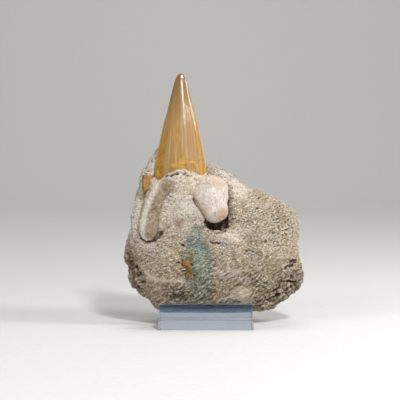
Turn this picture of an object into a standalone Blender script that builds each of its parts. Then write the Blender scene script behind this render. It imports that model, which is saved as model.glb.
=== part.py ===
"""A fossil shark tooth in its block of matrix, on a clear display stand.

The tooth lies with its root bedded in the front of a loose block of sandy rock, and its crown
stands free above the block. The block sits in the seat of a one-piece clear acrylic stand and
leans back on it. A chip of another tooth's enamel lies in the rock below.

+Z is up, +Y points away from the viewer, and the origin is the middle of the stand's foot.
The dimensions below are in millimetres, and the meshes are built in metres.
"""

import math

import bmesh
import bpy
import numpy as np
from mathutils import Matrix, Vector, noise

MM = 0.001

# Clearance between two bedded or resting pieces
SEAT_GAP = 0.35
TOOTH_GAP = 0.5
CHIP_GAP = 0.43

# The block and the tooth lean back by this much for each unit of height
LEAN = 0.12

# Display stand, as a side profile of (y, z) that is extruded along X
STAND_WIDTH = 45.0
STAND_TAPER = 0.9
STAND_EDGE = 0.35
FOOT_FRONT_Y = -19.0
FOOT_BACK_Y = 20.0
FOOT_FACE_HEIGHT = 5.9
LIP_TOP_Z = 11.9
LIP_FRONT_Y = -16.9
LIP_BACK_Y = -14.9
SEAT_FRONT_Y = -14.4
SEAT_FRONT_Z = 7.2
SEAT_DEPTH = 26.6
REST_TOP_Z = 26.0
REST_THICKNESS = 3.2

# Block of matrix: its outline seen from the front, as (x, z) clockwise from the upper left
BLOCK_CENTRE = (4.0, 44.0)
BLOCK_OUTLINE = (
    (-23.4, 85.0), (-16.5, 84.0), (-7.7, 80.0), (0.1, 76.4), (6.0, 74.8), (11.4, 72.9),
    (14.3, 70.0), (15.8, 68.0), (20.6, 65.6), (26.0, 63.6), (28.9, 62.2), (31.4, 60.2),
    (37.7, 58.3), (40.2, 55.9), (43.6, 53.0), (45.0, 50.0), (45.7, 45.7), (45.0, 41.8),
    (44.8, 36.0), (45.4, 32.1), (46.9, 27.8), (47.3, 23.5), (47.2, 21.0), (45.8, 17.7),
    (44.9, 16.7), (41.4, 14.3), (40.5, 12.4), (37.5, 10.0), (33.6, 7.6), (30.2, 6.1),
    (27.3, 6.4), (22.5, 6.2), (16.6, 5.4), (0.0, 5.0), (-17.4, 5.4), (-23.7, 6.9),
    (-26.1, 9.6), (-29.1, 12.4), (-32.5, 15.3), (-35.4, 18.2), (-37.4, 21.5), (-37.6, 26.4),
    (-38.4, 29.2), (-39.4, 34.1), (-38.9, 37.0), (-37.4, 42.3), (-36.0, 48.6), (-34.5, 55.4),
    (-33.1, 60.7), (-32.1, 65.1), (-31.7, 70.0), (-30.7, 73.9), (-28.3, 77.3), (-27.3, 80.2),
    (-25.3, 83.6),
)
BLOCK_RIM_Y = 1.0
BLOCK_RIM_Z = 9.0
BLOCK_FRONT_DEPTH = 12.5
BLOCK_BACK_DEPTH_LOW = 11.2
BLOCK_BACK_DEPTH_HIGH = 14.5
BLOCK_SWELL_FROM_Z = 20.0
BLOCK_SWELL_TO_Z = 42.0
BLOCK_BOXINESS = 3.3
BLOCK_TRIANGLES = 5150

# Relief on the block: (wavelength, height) of the slow swells and of the lumps between creases
SWELL_WAVE = (26.0, 1.3)
LUMP_WAVES = ((12.0, 0.9), (5.5, 0.55))
LUMP_MEAN = 0.2
RELIEF_DEPTH_SHARE = 1.6
RELIEF_AT_RIM = 0.25

# Lower right corner, broken away in ledges that rise to the right
LEDGE_SLOPE_DEG = 42.0
LEDGE_START = -6.0
LEDGE_FALL = 0.42
LEDGE_PITCH = 3.2
LEDGE_STEP = 1.6
LEDGE_RISER_SHARE = 0.35
LEDGE_WANDER = (9.0, 1.2)

# Local swells and scars on the front face: (x, z, half width, half height, forward push)
SWELLS = (
    (-26.0, 79.0, 6.0, 9.0, 2.6),
    (-29.5, 69.0, 4.5, 8.0, 1.6),
    (5.0, 73.0, 9.0, 5.0, 2.2),
    (16.5, 13.0, 5.0, 4.0, 1.1),
    (-13.0, 13.5, 4.6, 5.0, -1.5),
    (-35.5, 23.0, 5.0, 10.0, -2.0),
    (7.5, 42.2, 7.0, 3.0, 0.9),
    (-9.0, 54.0, 9.0, 9.0, 3.0),
    (17.0, 62.0, 7.0, 9.0, 1.8),
    (-31.0, 54.0, 7.0, 15.0, 2.4),
    (-26.0, 38.0, 8.0, 5.0, 1.2),
)

# Share of a direction that points out of the front, where the ledges and swells begin and are whole
FACING_RANGE = (0.15, 0.75)

# Crown of the tooth: (distance below the tip, half width)
CROWN_X = -12.1
CROWN_TIP_Z = 120.6
CROWN_PLANE_Y = -2.8
CROWN_PLANE_Z = 72.0
CROWN_STATIONS = (
    (0.0, 0.45), (0.5, 1.2), (2.2, 2.25), (5.2, 3.25), (9.0, 4.2), (13.0, 5.15), (18.5, 6.55),
    (24.5, 8.3), (29.5, 9.35), (35.5, 10.6), (43.8, 12.1), (49.0, 12.4), (51.6, 10.6),
)
CROWN_FRONT_BULGE = 0.47
CROWN_BACK_BULGE = 0.27
CROWN_EDGE_HOLLOW = 0.35
CROWN_SIDES = 28

# Root of the tooth, as lumps grown together: (x, z, forward of the crown's plane) of the middle,
# half sizes across, up and deep, and lean in degrees
ROOT_LUMPS = (
    ("root_middle", (-9.0, 66.8, 1.8), (15.5, 5.3, 4.4), 2.0),
    ("root_collar", (-11.2, 70.2, 2.4), (11.5, 4.6, 4.1), 2.0),
    ("left_shoulder", (-22.6, 66.2, 1.2), (6.2, 5.6, 4.0), 24.0),
    ("left_lobe_upper", (-25.0, 57.6, 0.8), (5.3, 8.6, 4.0), 14.0),
    ("left_lobe_lower", (-27.1, 48.4, 0.9), (5.0, 8.0, 4.0), 5.0),
    ("right_shoulder", (1.4, 65.6, 2.1), (9.4, 6.4, 5.0), 0.0),
    ("right_lobe_upper", (2.2, 60.8, 2.3), (8.8, 6.6, 5.4), -14.0),
    ("right_lobe_lower", (4.4, 55.7, 2.4), (6.2, 6.3, 5.1), -10.0),
)
ROOT_VOXEL = 1.25
ROOT_SOFTENING_PASSES = 4
ROOT_TRIANGLES = 1650

# Broken side cusp at the left shoulder, from its top down: (x, z, forward of the crown's plane) of
# the middle, half width and half depth
CUSP_STATIONS = (
    ((-28.4, 71.4, 0.4), 1.9, 1.1),
    ((-28.2, 69.8, 0.5), 2.4, 1.7),
    ((-28.1, 67.2, 0.6), 2.5, 1.8),
    ((-28.8, 64.6, 0.5), 1.9, 1.5),
    ((-29.7, 62.6, 0.3), 1.1, 1.1),
)
CUSP_SIDES = 12

# Hollows left in the matrix round the root: (x, z) of the middle, depth of the middle behind the
# face, and half sizes across, up and deep
HOLLOWS = (
    ("hollow_under_right_lobe", (5.6, 50.9), 1.0, (6.2, 5.6, 7.0)),
    ("groove_beside_right_lobe", (6.3, 58.8), 0.0, (5.3, 8.4, 5.0)),
    ("groove_under_left_lobe", (-27.0, 47.6), 0.0, (5.6, 7.9, 3.6)),
)

# Chip of enamel: its line as (x, z, radius), how flat it is, and how deep its middle lies
CHIP_LINE = (
    (-10.4, 32.1, 0.8), (-9.9, 31.1, 1.6), (-9.2, 29.9, 1.6), (-8.1, 28.8, 1.0),
    (-7.6, 27.7, 0.85), (-7.8, 26.4, 0.9), (-8.4, 25.0, 1.0), (-8.6, 23.6, 0.85),
    (-8.6, 22.8, 0.5),
)
CHIP_FLATNESS = 0.62
CHIP_SUNK = 0.15
CHIP_MIDDLE = 3


def new_collection(name):
    collection = bpy.data.collections.new(name)
    bpy.context.scene.collection.children.link(collection)
    return collection


def add_object(name, mesh, collection):
    made = bpy.data.objects.new(name, mesh)
    collection.objects.link(made)
    return made


def hide_helper(helper):
    helper.hide_render = True
    helper.display_type = "WIRE"


def mesh_from_bmesh(name, bm):
    bmesh.ops.recalc_face_normals(bm, faces=bm.faces)
    mesh = bpy.data.meshes.new(name)
    bm.to_mesh(mesh)
    bm.free()
    return mesh


def evaluated_mesh(source):
    """The object's mesh with its modifiers applied, in world space."""
    graph = bpy.context.evaluated_depsgraph_get()
    mesh = bpy.data.meshes.new_from_object(source.evaluated_get(graph))
    mesh.transform(source.matrix_world)
    return mesh


def material(name, colour, roughness, metallic=0.0, alpha=1.0):
    made = bpy.data.materials.new(name)
    made.use_nodes = True
    shader = made.node_tree.nodes["Principled BSDF"]
    shader.inputs["Base Color"].default_value = (*colour, 1.0)
    shader.inputs["Roughness"].default_value = roughness
    shader.inputs["Metallic"].default_value = metallic
    shader.inputs["Alpha"].default_value = alpha
    return made


def smooth_share(value, start, end):
    """0 before start and 1 after end, with a soft change between them."""
    share = min(1.0, max(0.0, (value - start) / (end - start)))
    return share * share * (3.0 - 2.0 * share)


def face_y(z):
    """Depth of the block's general front face at a height."""
    return BLOCK_RIM_Y - BLOCK_FRONT_DEPTH + LEAN * (z - BLOCK_RIM_Z)


# Block of matrix


def outline_radius(angle):
    """Distance from the block's centre to its outline at an angle, seen from the front."""
    x, z = np.array(BLOCK_OUTLINE).T
    x = x - BLOCK_CENTRE[0]
    z = z - BLOCK_CENTRE[1]
    angles = np.arctan2(z, x)
    order = np.argsort(angles)
    return float(np.interp(angle, angles[order], np.hypot(x, z)[order], period=2 * math.pi))


def back_depth(z):
    """Thickness of the block behind its rim, thinner where the stand's rest holds it."""
    share = smooth_share(z, BLOCK_SWELL_FROM_Z, BLOCK_SWELL_TO_Z)
    return BLOCK_BACK_DEPTH_LOW + share * (BLOCK_BACK_DEPTH_HIGH - BLOCK_BACK_DEPTH_LOW)


def ledge_fall(x, z):
    """How far the front face falls back in steps at the lower right corner."""
    slope = math.radians(LEDGE_SLOPE_DEG)
    below = LEDGE_START - (z * math.cos(slope) - x * math.sin(slope))
    wavelength, wander = LEDGE_WANDER
    below += wander * noise.noise(Vector((x, 0.0, z)) / wavelength)
    if below <= 0.0:
        return 0.0
    step = below / LEDGE_PITCH
    risen = math.floor(step) + smooth_share(step % 1.0, 0.0, LEDGE_RISER_SHARE)
    return LEDGE_FALL * below + LEDGE_STEP * (risen - step) * min(1.0, step)


def lumps(point):
    """Uneven relief at a point, positive outwards: slow swells, and rounded lumps with creases."""
    wavelength, height = SWELL_WAVE
    total = height * noise.noise(point / wavelength)
    for wavelength, height in LUMP_WAVES:
        shifted = (point + Vector((height, 0.0, wavelength))) / wavelength
        total += height * (abs(noise.noise(shifted)) / LUMP_MEAN - 1.0) / 2.0
    return total


def swell_push(x, z):
    """How far the local swells push the front face forward at a place on it."""
    total = 0.0
    for swell_x, swell_z, half_width, half_height, forward in SWELLS:
        off = ((x - swell_x) / half_width) ** 2 + ((z - swell_z) / half_height) ** 2
        total += forward * math.exp(-off)
    return total


def block_point(direction):
    """The block's surface point for a direction out of its middle."""
    angle = math.atan2(direction.z, direction.x)
    across = math.hypot(direction.x, direction.z)
    fit = (across**BLOCK_BOXINESS + abs(direction.y) ** BLOCK_BOXINESS) ** (-1.0 / BLOCK_BOXINESS)
    radius = outline_radius(angle) * fit * across
    x = BLOCK_CENTRE[0] + radius * math.cos(angle)
    z = BLOCK_CENTRE[1] + radius * math.sin(angle)
    depth = BLOCK_FRONT_DEPTH if direction.y < 0.0 else back_depth(z)
    y = BLOCK_RIM_Y + LEAN * (z - BLOCK_RIM_Z) + depth * fit * direction.y
    if direction.y < 0.0:
        facing = smooth_share(-direction.y, *FACING_RANGE)
        y += facing * (ledge_fall(x, z) - swell_push(x, z))
    return Vector((x, y, z))


def matrix_block(collection):
    bm = bmesh.new()
    bmesh.ops.create_icosphere(bm, subdivisions=6, radius=1.0)
    for vertex in bm.verts:
        direction = vertex.co.normalized()
        point = block_point(direction)
        stretched = (direction.x, RELIEF_DEPTH_SHARE * direction.y, direction.z)
        outward = Vector(stretched).normalized()
        share = RELIEF_AT_RIM + (1.0 - RELIEF_AT_RIM) * smooth_share(abs(direction.y), 0.0, 0.4)
        vertex.co = (point + outward * lumps(point) * share) * MM
    whole = len(bm.faces)
    block = add_object("matrix", mesh_from_bmesh("matrix", bm), collection)
    thinner = block.modifiers.new("Fewer faces", "DECIMATE")
    thinner.ratio = BLOCK_TRIANGLES / whole
    block.data.materials.append(material("sandy_matrix", (0.46, 0.39, 0.30), 0.95))
    return block


def cut_from(target, cutter):
    cut = target.modifiers.new("Cut " + cutter.name, "BOOLEAN")
    cut.operation = "DIFFERENCE"
    cut.object = cutter


def lump_object(name, middle, half_sizes, lean_deg, collection):
    """An egg shape: half sizes across, up and deep, turned by its lean about the Y axis."""
    bm = bmesh.new()
    bmesh.ops.create_uvsphere(bm, u_segments=24, v_segments=12, radius=1.0)
    across, up, deep = half_sizes
    stretch = Matrix.Diagonal((across * MM, deep * MM, up * MM, 1.0))
    bm.transform(Matrix.Rotation(math.radians(lean_deg), 4, "Y") @ stretch)
    bm.transform(Matrix.Translation(Vector(middle) * MM))
    return add_object(name, mesh_from_bmesh(name, bm), collection)


def hollow_cutters(collection):
    made = []
    for name, (x, z), behind, half_sizes in HOLLOWS:
        cutter = lump_object(name, (x, face_y(z) + behind, z), half_sizes, 0.0, collection)
        hide_helper(cutter)
        made.append(cutter)
    return made


# Tooth


def crown_plane_y(z):
    """Depth of the crown's two cutting edges at a height."""
    return CROWN_PLANE_Y + LEAN * (z - CROWN_PLANE_Z)


def crown_ring(distance, half_width, grow):
    """A lens-shaped section of the crown: bulging in front, flatter behind, with two edges."""
    z = CROWN_TIP_Z - distance
    half = half_width + grow
    points = []
    for number in range(CROWN_SIDES):
        turn = 2 * math.pi * number / CROWN_SIDES
        across = math.cos(turn)
        bulge = CROWN_FRONT_BULGE if math.sin(turn) < 0.0 else CROWN_BACK_BULGE
        deep = bulge * half_width * math.sin(turn) * abs(math.sin(turn)) ** CROWN_EDGE_HOLLOW
        deep += grow * math.sin(turn)
        points.append(Vector((CROWN_X + half * across, crown_plane_y(z) + deep, z)) * MM)
    return points


def loft(name, rings, collection):
    """A closed body over rings of points, all with the same number of points."""
    bm = bmesh.new()
    rows = [[bm.verts.new(point) for point in ring] for ring in rings]
    sides = len(rows[0])
    for upper, lower in zip(rows, rows[1:]):
        for side in range(sides):
            after = (side + 1) % sides
            bm.faces.new((upper[side], upper[after], lower[after], lower[side]))
    bm.faces.new(rows[0])
    bm.faces.new(reversed(rows[-1]))
    return add_object(name, mesh_from_bmesh(name, bm), collection)


def crown(name, grow, collection):
    """The crown as a loft between its sections, closed at the tip and inside the root."""
    rings = []
    last = len(CROWN_STATIONS) - 1
    for number, (distance, half_width) in enumerate(CROWN_STATIONS):
        lift = {0: grow, last: -grow}.get(number, 0.0)
        rings.append(crown_ring(distance - lift, half_width, grow))
    return loft(name, rings, collection)


def cusp(name, grow, collection):
    """The stub of the side cusp as a loft between its oval sections."""
    rings = []
    last = len(CUSP_STATIONS) - 1
    for number, ((x, z, forward), half_width, half_depth) in enumerate(CUSP_STATIONS):
        lift = {0: grow, last: -grow}.get(number, 0.0)
        y = crown_plane_y(z) - forward
        ring = []
        for side in range(CUSP_SIDES):
            turn = 2 * math.pi * side / CUSP_SIDES
            across = (half_width + grow) * math.cos(turn)
            deep = (half_depth + grow) * math.sin(turn)
            ring.append(Vector((x + across, y + deep, z + lift)) * MM)
        rings.append(ring)
    return loft(name, rings, collection)


def root(name, grow, collection):
    """The root's lumps grown together into one smooth body."""
    lumps_made = []
    for lump_name, (x, z, forward), half_sizes, lean_deg in ROOT_LUMPS:
        middle = (x, crown_plane_y(z) - forward, z)
        grown = [size + grow for size in half_sizes]
        made = lump_object(lump_name, middle, grown, lean_deg, collection)
        lumps_made.append(made)
    bm = bmesh.new()
    for made in lumps_made:
        bm.from_mesh(made.data)
        bpy.data.objects.remove(made)
    body = add_object(name, mesh_from_bmesh(name, bm), collection)
    remesh = body.modifiers.new("Grow together", "REMESH")
    remesh.mode = "VOXEL"
    remesh.voxel_size = ROOT_VOXEL * MM
    soften = body.modifiers.new("Soften joins", "SMOOTH")
    soften.factor = 0.5
    soften.iterations = ROOT_SOFTENING_PASSES
    applied = evaluated_mesh(body)
    bpy.data.objects.remove(body)
    body = add_object(name, applied, collection)
    thinner = body.modifiers.new("Fewer faces", "DECIMATE")
    thinner.ratio = ROOT_TRIANGLES / (2 * len(applied.polygons))
    return body


def tooth(name, grow, collection, helpers):
    """Crown, side cusp and root as one body, larger all over by grow."""
    body = root(name + "_root", grow, collection)
    for helper in (crown(name + "_crown", grow, helpers), cusp(name + "_cusp", grow, helpers)):
        hide_helper(helper)
        join = body.modifiers.new("Join " + helper.name, "BOOLEAN")
        join.operation = "UNION"
        join.object = helper
    joined = evaluated_mesh(body)
    bpy.data.objects.remove(body)
    return add_object(name, joined, collection)


# Enamel chip


def enamel_chip(name, grow, block, collection):
    """A worn sliver of enamel that follows the rock face, mostly sunk in it."""
    line = bpy.data.curves.new(name, "CURVE")
    line.dimensions = "3D"
    line.bevel_depth = MM
    line.bevel_resolution = 2
    line.use_fill_caps = True
    spline = line.splines.new("POLY")
    spline.points.add(len(CHIP_LINE) - 1)
    for point, (x, z, radius) in zip(spline.points, CHIP_LINE):
        point.co = (x * MM, 0.0, z * MM, 1.0)
        point.radius = radius
    curve = add_object(name + "_line", line, collection)
    bpy.context.view_layer.update()
    bm = bmesh.new()
    bm.from_mesh(evaluated_mesh(curve))
    bpy.data.objects.remove(curve)
    bmesh.ops.remove_doubles(bm, verts=bm.verts, dist=0.01 * MM)
    middle_x, middle_z, _ = CHIP_LINE[CHIP_MIDDLE]
    start = Vector((middle_x * MM, -1.0, middle_z * MM))
    _, where, _, _ = block.ray_cast(start, Vector((0.0, 1.0, 0.0)))
    middle_y = where.y + CHIP_SUNK * MM
    for vertex in bm.verts:
        rise = vertex.co.z - middle_z * MM
        vertex.co.y = middle_y + vertex.co.y * CHIP_FLATNESS + LEAN * rise
    bm.normal_update()
    bmesh.ops.recalc_face_normals(bm, faces=bm.faces)
    for vertex in bm.verts:
        vertex.co += vertex.normal * grow * MM
    return add_object(name, mesh_from_bmesh(name, bm), collection)


# Display stand


def stand_profile(grow=0.0):
    """(y, z) corners of the stand's side, with the seat side moved out by grow."""
    seat_back_y = SEAT_FRONT_Y + SEAT_DEPTH
    seat_back_z = SEAT_FRONT_Z - LEAN * SEAT_DEPTH
    rest_top_y = seat_back_y + LEAN * (REST_TOP_Z - seat_back_z)
    return (
        (FOOT_FRONT_Y, 0.0),
        (FOOT_FRONT_Y, FOOT_FACE_HEIGHT),
        (LIP_FRONT_Y, LIP_TOP_Z + grow),
        (LIP_BACK_Y + grow, LIP_TOP_Z + grow),
        (SEAT_FRONT_Y + grow, SEAT_FRONT_Z + grow),
        (seat_back_y - grow, seat_back_z + grow),
        (rest_top_y - grow, REST_TOP_Z + grow),
        (rest_top_y + REST_THICKNESS, REST_TOP_Z + grow),
        (FOOT_BACK_Y, 0.0),
    )


def stand_body(name, grow, collection):
    """The side profile as a flat curve, extruded to the stand's width."""
    outline = bpy.data.curves.new(name, "CURVE")
    outline.dimensions = "2D"
    outline.fill_mode = "BOTH"
    outline.extrude = (STAND_WIDTH / 2 + grow) * MM
    spline = outline.splines.new("POLY")
    corners = stand_profile(grow)
    spline.points.add(len(corners) - 1)
    for point, (y, z) in zip(spline.points, corners):
        point.co = (y * MM, z * MM, 0.0, 1.0)
    spline.use_cyclic_u = True
    curve = add_object(name + "_profile", outline, collection)
    curve.matrix_world = Matrix(((0, 0, 1, 0), (1, 0, 0, 0), (0, 1, 0, 0), (0, 0, 0, 1)))
    bpy.context.view_layer.update()
    bm = bmesh.new()
    bm.from_mesh(evaluated_mesh(curve))
    bpy.data.objects.remove(curve)
    bmesh.ops.remove_doubles(bm, verts=bm.verts, dist=0.01 * MM)
    bmesh.ops.dissolve_limit(bm, angle_limit=0.01, verts=bm.verts, edges=bm.edges)
    for vertex in bm.verts:
        height_share = vertex.co.z / (LIP_TOP_Z * MM)
        vertex.co.x -= math.copysign(STAND_TAPER * MM * min(1.0, height_share), vertex.co.x)
    return add_object(name, mesh_from_bmesh(name, bm), collection)


def display_stand(collection):
    stand = stand_body("display_stand", 0.0, collection)
    edges = stand.modifiers.new("Polished edges", "BEVEL")
    edges.width = STAND_EDGE * MM
    edges.segments = 2
    edges.limit_method = "ANGLE"
    edges.angle_limit = math.radians(10.0)
    stand.data.materials.append(material("clear_acrylic", (0.9, 0.93, 0.96), 0.03, alpha=0.35))
    return stand


def main():
    for old in list(bpy.data.objects):
        bpy.data.objects.remove(old)
    specimen = new_collection("fossil_tooth_in_matrix")
    helpers = new_collection("cutters")

    display_stand(specimen)
    seat_cutter = stand_body("seat_clearance", SEAT_GAP, helpers)
    hide_helper(seat_cutter)

    shark_tooth = tooth("shark_tooth", 0.0, specimen, helpers)
    shark_tooth.data.materials.append(material("fossil_enamel", (0.54, 0.36, 0.16), 0.3))
    socket_cutter = tooth("tooth_socket", TOOTH_GAP, helpers, helpers)
    hide_helper(socket_cutter)

    block = matrix_block(specimen)
    bpy.context.view_layer.update()
    chip = enamel_chip("enamel_chip", 0.0, block, specimen)
    chip.data.materials.append(material("chip_enamel", (0.32, 0.17, 0.04), 0.35))
    chip_cutter = enamel_chip("chip_socket", CHIP_GAP, block, helpers)
    hide_helper(chip_cutter)

    for cutter in (seat_cutter, socket_cutter, chip_cutter, *hollow_cutters(helpers)):
        cut_from(block, cutter)

    for rounded in (shark_tooth, chip, block):
        rounded.data.shade_smooth()
        rounded.data.set_sharp_from_angle(angle=math.radians(40.0))


main()
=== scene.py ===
"""A fossil shark tooth bedded in a block of sandy matrix, on a clear acrylic display stand.

+Z is up, +Y points away from the viewer, and the origin is the middle of the stand's foot.
Sizes are given in millimetres and turned into metres by MM where a mesh is made.
"""

import math

import bmesh
import bpy
import numpy as np
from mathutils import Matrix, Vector, noise
from mathutils.bvhtree import BVHTree


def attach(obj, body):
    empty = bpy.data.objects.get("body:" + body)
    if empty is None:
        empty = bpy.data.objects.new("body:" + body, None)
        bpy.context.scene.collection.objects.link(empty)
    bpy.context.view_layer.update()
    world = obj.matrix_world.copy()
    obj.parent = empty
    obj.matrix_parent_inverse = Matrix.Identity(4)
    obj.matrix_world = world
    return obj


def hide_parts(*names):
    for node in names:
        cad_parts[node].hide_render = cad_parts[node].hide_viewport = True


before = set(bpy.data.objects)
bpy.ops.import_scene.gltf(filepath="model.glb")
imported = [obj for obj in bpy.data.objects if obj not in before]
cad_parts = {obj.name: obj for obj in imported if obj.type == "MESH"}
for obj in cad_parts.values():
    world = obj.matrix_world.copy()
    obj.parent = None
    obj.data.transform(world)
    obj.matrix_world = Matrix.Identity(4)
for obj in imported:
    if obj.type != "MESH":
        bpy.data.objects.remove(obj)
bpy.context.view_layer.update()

# Display stand
# A small stand milled from one block of clear cast acrylic: a front lip, a seat that slopes down
# to the back and a low back rest. Its faces are polished and carry faint wipe marks.

MM = 0.001
ACRYLIC_CLEAR = (222, 233, 250)
ACRYLIC_IOR = 1.49
WIPE_MARK_LENGTH = 9.0
WIPE_MARK_WIDTH = 0.35


def linear(red, green, blue):
    """A colour given by its 0 to 255 values, as the shaders' linear values."""
    shares = [value / 255.0 for value in (red, green, blue)]
    return tuple(s / 12.92 if s <= 0.04045 else ((s + 0.055) / 1.055) ** 2.4 for s in shares)


def new_finish(name):
    """A new material with its node tree and its Principled shader."""
    finish = bpy.data.materials.new(name)
    finish.use_nodes = True
    return finish, finish.node_tree, finish.node_tree.nodes["Principled BSDF"]


def add_node(tree, kind, inputs=None, **settings):
    """Adds a shader node. An input is set from a value, or linked from another node's socket."""
    made = tree.nodes.new("ShaderNode" + kind)
    for name, value in settings.items():
        setattr(made, name, value)
    for name, value in (inputs or {}).items():
        if isinstance(value, bpy.types.NodeSocket):
            tree.links.new(value, made.inputs[name])
        else:
            made.inputs[name].default_value = value
    return made


def stretched_place(tree, stretch, rise=0.0):
    """Places on the object, measured in a length for each axis, in millimetres. The first axis may
    rise to the right, by an angle in degrees."""
    inputs = {"Vector": add_node(tree, "TexCoord").outputs["Object"],
              "Rotation": (0.0, math.radians(-rise), 0.0), "Scale": [MM * size for size in stretch]}
    return add_node(tree, "Mapping", inputs, vector_type="TEXTURE").outputs["Vector"]


acrylic, tree, shader = new_finish("polished_acrylic")
shader.inputs["Base Color"].default_value = (*linear(*ACRYLIC_CLEAR), 1.0)
shader.inputs["Transmission Weight"].default_value = 1.0
shader.inputs["IOR"].default_value = ACRYLIC_IOR
wiped = stretched_place(tree, (WIPE_MARK_LENGTH, WIPE_MARK_WIDTH, WIPE_MARK_WIDTH))
marks = add_node(tree, "TexNoise", {"Vector": wiped, "Scale": 1.0, "Detail": 3.0})
dulled = add_node(
    tree, "MapRange", {"Value": marks.outputs["Fac"], "From Min": 0.45, "From Max": 0.8,
                       "To Min": 0.015, "To Max": 0.09}
)
tree.links.new(dulled.outputs["Result"], shader.inputs["Roughness"])
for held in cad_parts["display_stand"].material_slots:
    held.material = acrylic

# Block of matrix
# A loose block of pale phosphate sandstone: rounded quartz and bone sand in a chalky cement. It was
# broken out by hand, so it has ledges at the lower right, and crumbles at its left foot.

BLOCK_VOXEL = 0.94
BLOCK_FACE_SPLIT = -0.40
BLOCK_FACE_CUTS = 2
SEAT_HALF_WIDTH = 24.0
SEAT_HEIGHT = 9.0
BED_RISE = 38.0
LEDGE_STEP = 2.9
LEDGE_HEIGHT = 1.3
THIN_LEDGE_HEIGHT = 0.5
CRACK_DEPTH = 0.8
CORNER_CRACK_DEPTH = 1.9
PEBBLE_RIM_DEPTH = 0.35
PIT_DEPTH = 1.4
POCKET_DEPTH = 1.7
CRUMB_RISE = 15.0

# Sand banked up around the tooth's root: a line on the front face, its half width and its height
BANKS = (
    (((-17.0, 63.4), (-2.8, 62.9)), 3.4, 4.4),
    (((-15.0, 57.5), (-5.5, 57.5)), 4.5, 1.2),
    (((-7.0, 61.0), (-3.0, 56.0), (-1.6, 51.5)), 1.8, 1.8),
    (((-19.0, 62.0), (-20.0, 54.0), (-20.6, 46.0)), 2.2, 2.4),
    (((-32.2, 58.0), (-33.6, 50.0), (-33.6, 45.0)), 2.8, 2.2),
    (((13.0, 66.0), (13.8, 60.0), (13.6, 51.0)), 2.0, 1.5),
)

# Lines on the front face, as (x, z): cracks, the rims of a pebble and of a stain, painted shadow lines
# beside the lobes, an edge of another tone, the lit left edge painted lighter, and a vein of another tone
FINE_CRACKS = (((2.2, 40.2), (3.8, 39.5), (5.4, 39.8)), ((5.8, 39.4), (7.2, 39.9)))
CORNER_CRACKS = (
    ((37.6, 27.3), (39.4, 28.4), (41.2, 30.3), (43.6, 32.4)), ((40.9, 27.9), (42.3, 28.9), (43.4, 31.2)),
    ((39.4, 20.9), (41.2, 20.5), (43.4, 20.4)), ((32.0, 16.3), (33.9, 17.3), (35.4, 18.9)),
    ((30.4, 11.5), (32.4, 13.1), (34.2, 13.8), (36.0, 15.3)), ((38.0, 16.2), (40.1, 17.3), (43.0, 18.8)),
)
PEBBLE_RIM = ((11.6, 17.2), (13.6, 19.4), (16.4, 20.0), (19.6, 18.8), (21.0, 16.8))
OLIVE_RIM = ((-9.8, 35.0), (-7.8, 35.2), (-6.4, 33.8), (-6.8, 32.2))
LOBE_SHADOW_LINE = ((10.6, 64.0), (10.9, 58.0), (10.6, 53.0))
LOBE_UNDERCUT_SHADOW = ((-31.0, 41.6), (-27.6, 39.9), (-23.6, 41.2), (-21.0, 43.4))
WARM_EDGE = ((22.0, 66.0), (31.0, 59.0), (38.0, 51.0), (42.4, 44.0), (41.0, 34.0))
LIT_LEFT_EDGE = ((-27.0, 78.0), (-32.6, 60.0), (-35.6, 44.0))
PALE_VEIN = ((-34.4, 31.0), (-30.6, 27.4), (-26.4, 23.1), (-21.0, 21.8), (-15.5, 21.4), (-11.0, 22.6))

# The green clay's left and right edge at some heights, as (z, left x, right x)
GREEN_PATCH = (
    (12.0, -4.6, 2.6), (15.7, -6.6, 3.2), (19.0, -8.8, 3.2), (24.0, -11.6, 2.2), (30.0, -11.6, 3.6),
    (33.5, -11.2, 3.0), (36.0, -10.8, 1.6), (39.3, -10.2, 0.5), (42.0, -9.4, -0.8), (44.5, -6.4, -2.1),
    (48.6, -5.0, -4.4),
)

# The pocket below the right lobe, carved in and painted dark with shade, given in the same way
POCKET = (
    (44.6, 4.6, 7.0), (45.4, 2.8, 9.4), (46.8, 1.4, 10.2), (48.4, 0.2, 10.7), (50.4, -1.0, 10.8),
    (55.0, -1.6, 10.6), (60.0, 4.0, 10.4),
)

# Pits, as a middle (x, z) and a size
PITS = (
    ((-35.8, 31.0), 1.8), ((-34.0, 27.8), 1.4), ((-32.6, 24.4), 1.6), ((-36.8, 34.4), 1.2),
    ((-33.0, 17.6), 1.7), ((-30.6, 20.4), 1.2), ((-36.4, 27.0), 1.3), ((-11.0, 38.6), 0.9),
    ((-13.2, 30.6), 0.6), ((-20.9, 44.6), 0.9), ((40.6, 30.8), 1.2), ((36.8, 21.0), 1.2),
    ((28.4, 40.6), 0.9), ((24.5, 56.2), 0.7), ((25.6, 60.8), 0.5), ((19.4, 36.0), 0.7),
    ((28.4, 20.6), 0.9), ((41.2, 23.0), 1.0), ((-6.8, 29.5), 0.7), ((-5.8, 24.2), 0.8),
)


def solid_copy(name):
    """A copy of one of the frame's solids to work on, in which faces that meet share their points."""
    solid = bmesh.new()
    solid.from_mesh(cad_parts[name].data)
    bmesh.ops.remove_doubles(solid, verts=solid.verts, dist=0.001 * MM)
    return solid


def even_mesh(name, solid, voxel, smoothing):
    """A new object of evenly spaced small faces over a solid, with the solid's facets softened."""
    piece = bpy.data.objects.new(name, bpy.data.meshes.new(name))
    solid.to_mesh(piece.data)
    solid.free()
    bpy.context.scene.collection.objects.link(piece)
    remesh = piece.modifiers.new("Even faces", "REMESH")
    remesh.mode = "VOXEL"
    remesh.voxel_size = voxel * MM
    soften = piece.modifiers.new("Soft facets", "SMOOTH")
    soften.factor = 0.6
    soften.iterations = smoothing
    graph = bpy.context.evaluated_depsgraph_get()
    piece.data = bpy.data.meshes.new_from_object(piece.evaluated_get(graph))
    piece.modifiers.clear()
    return piece


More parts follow.
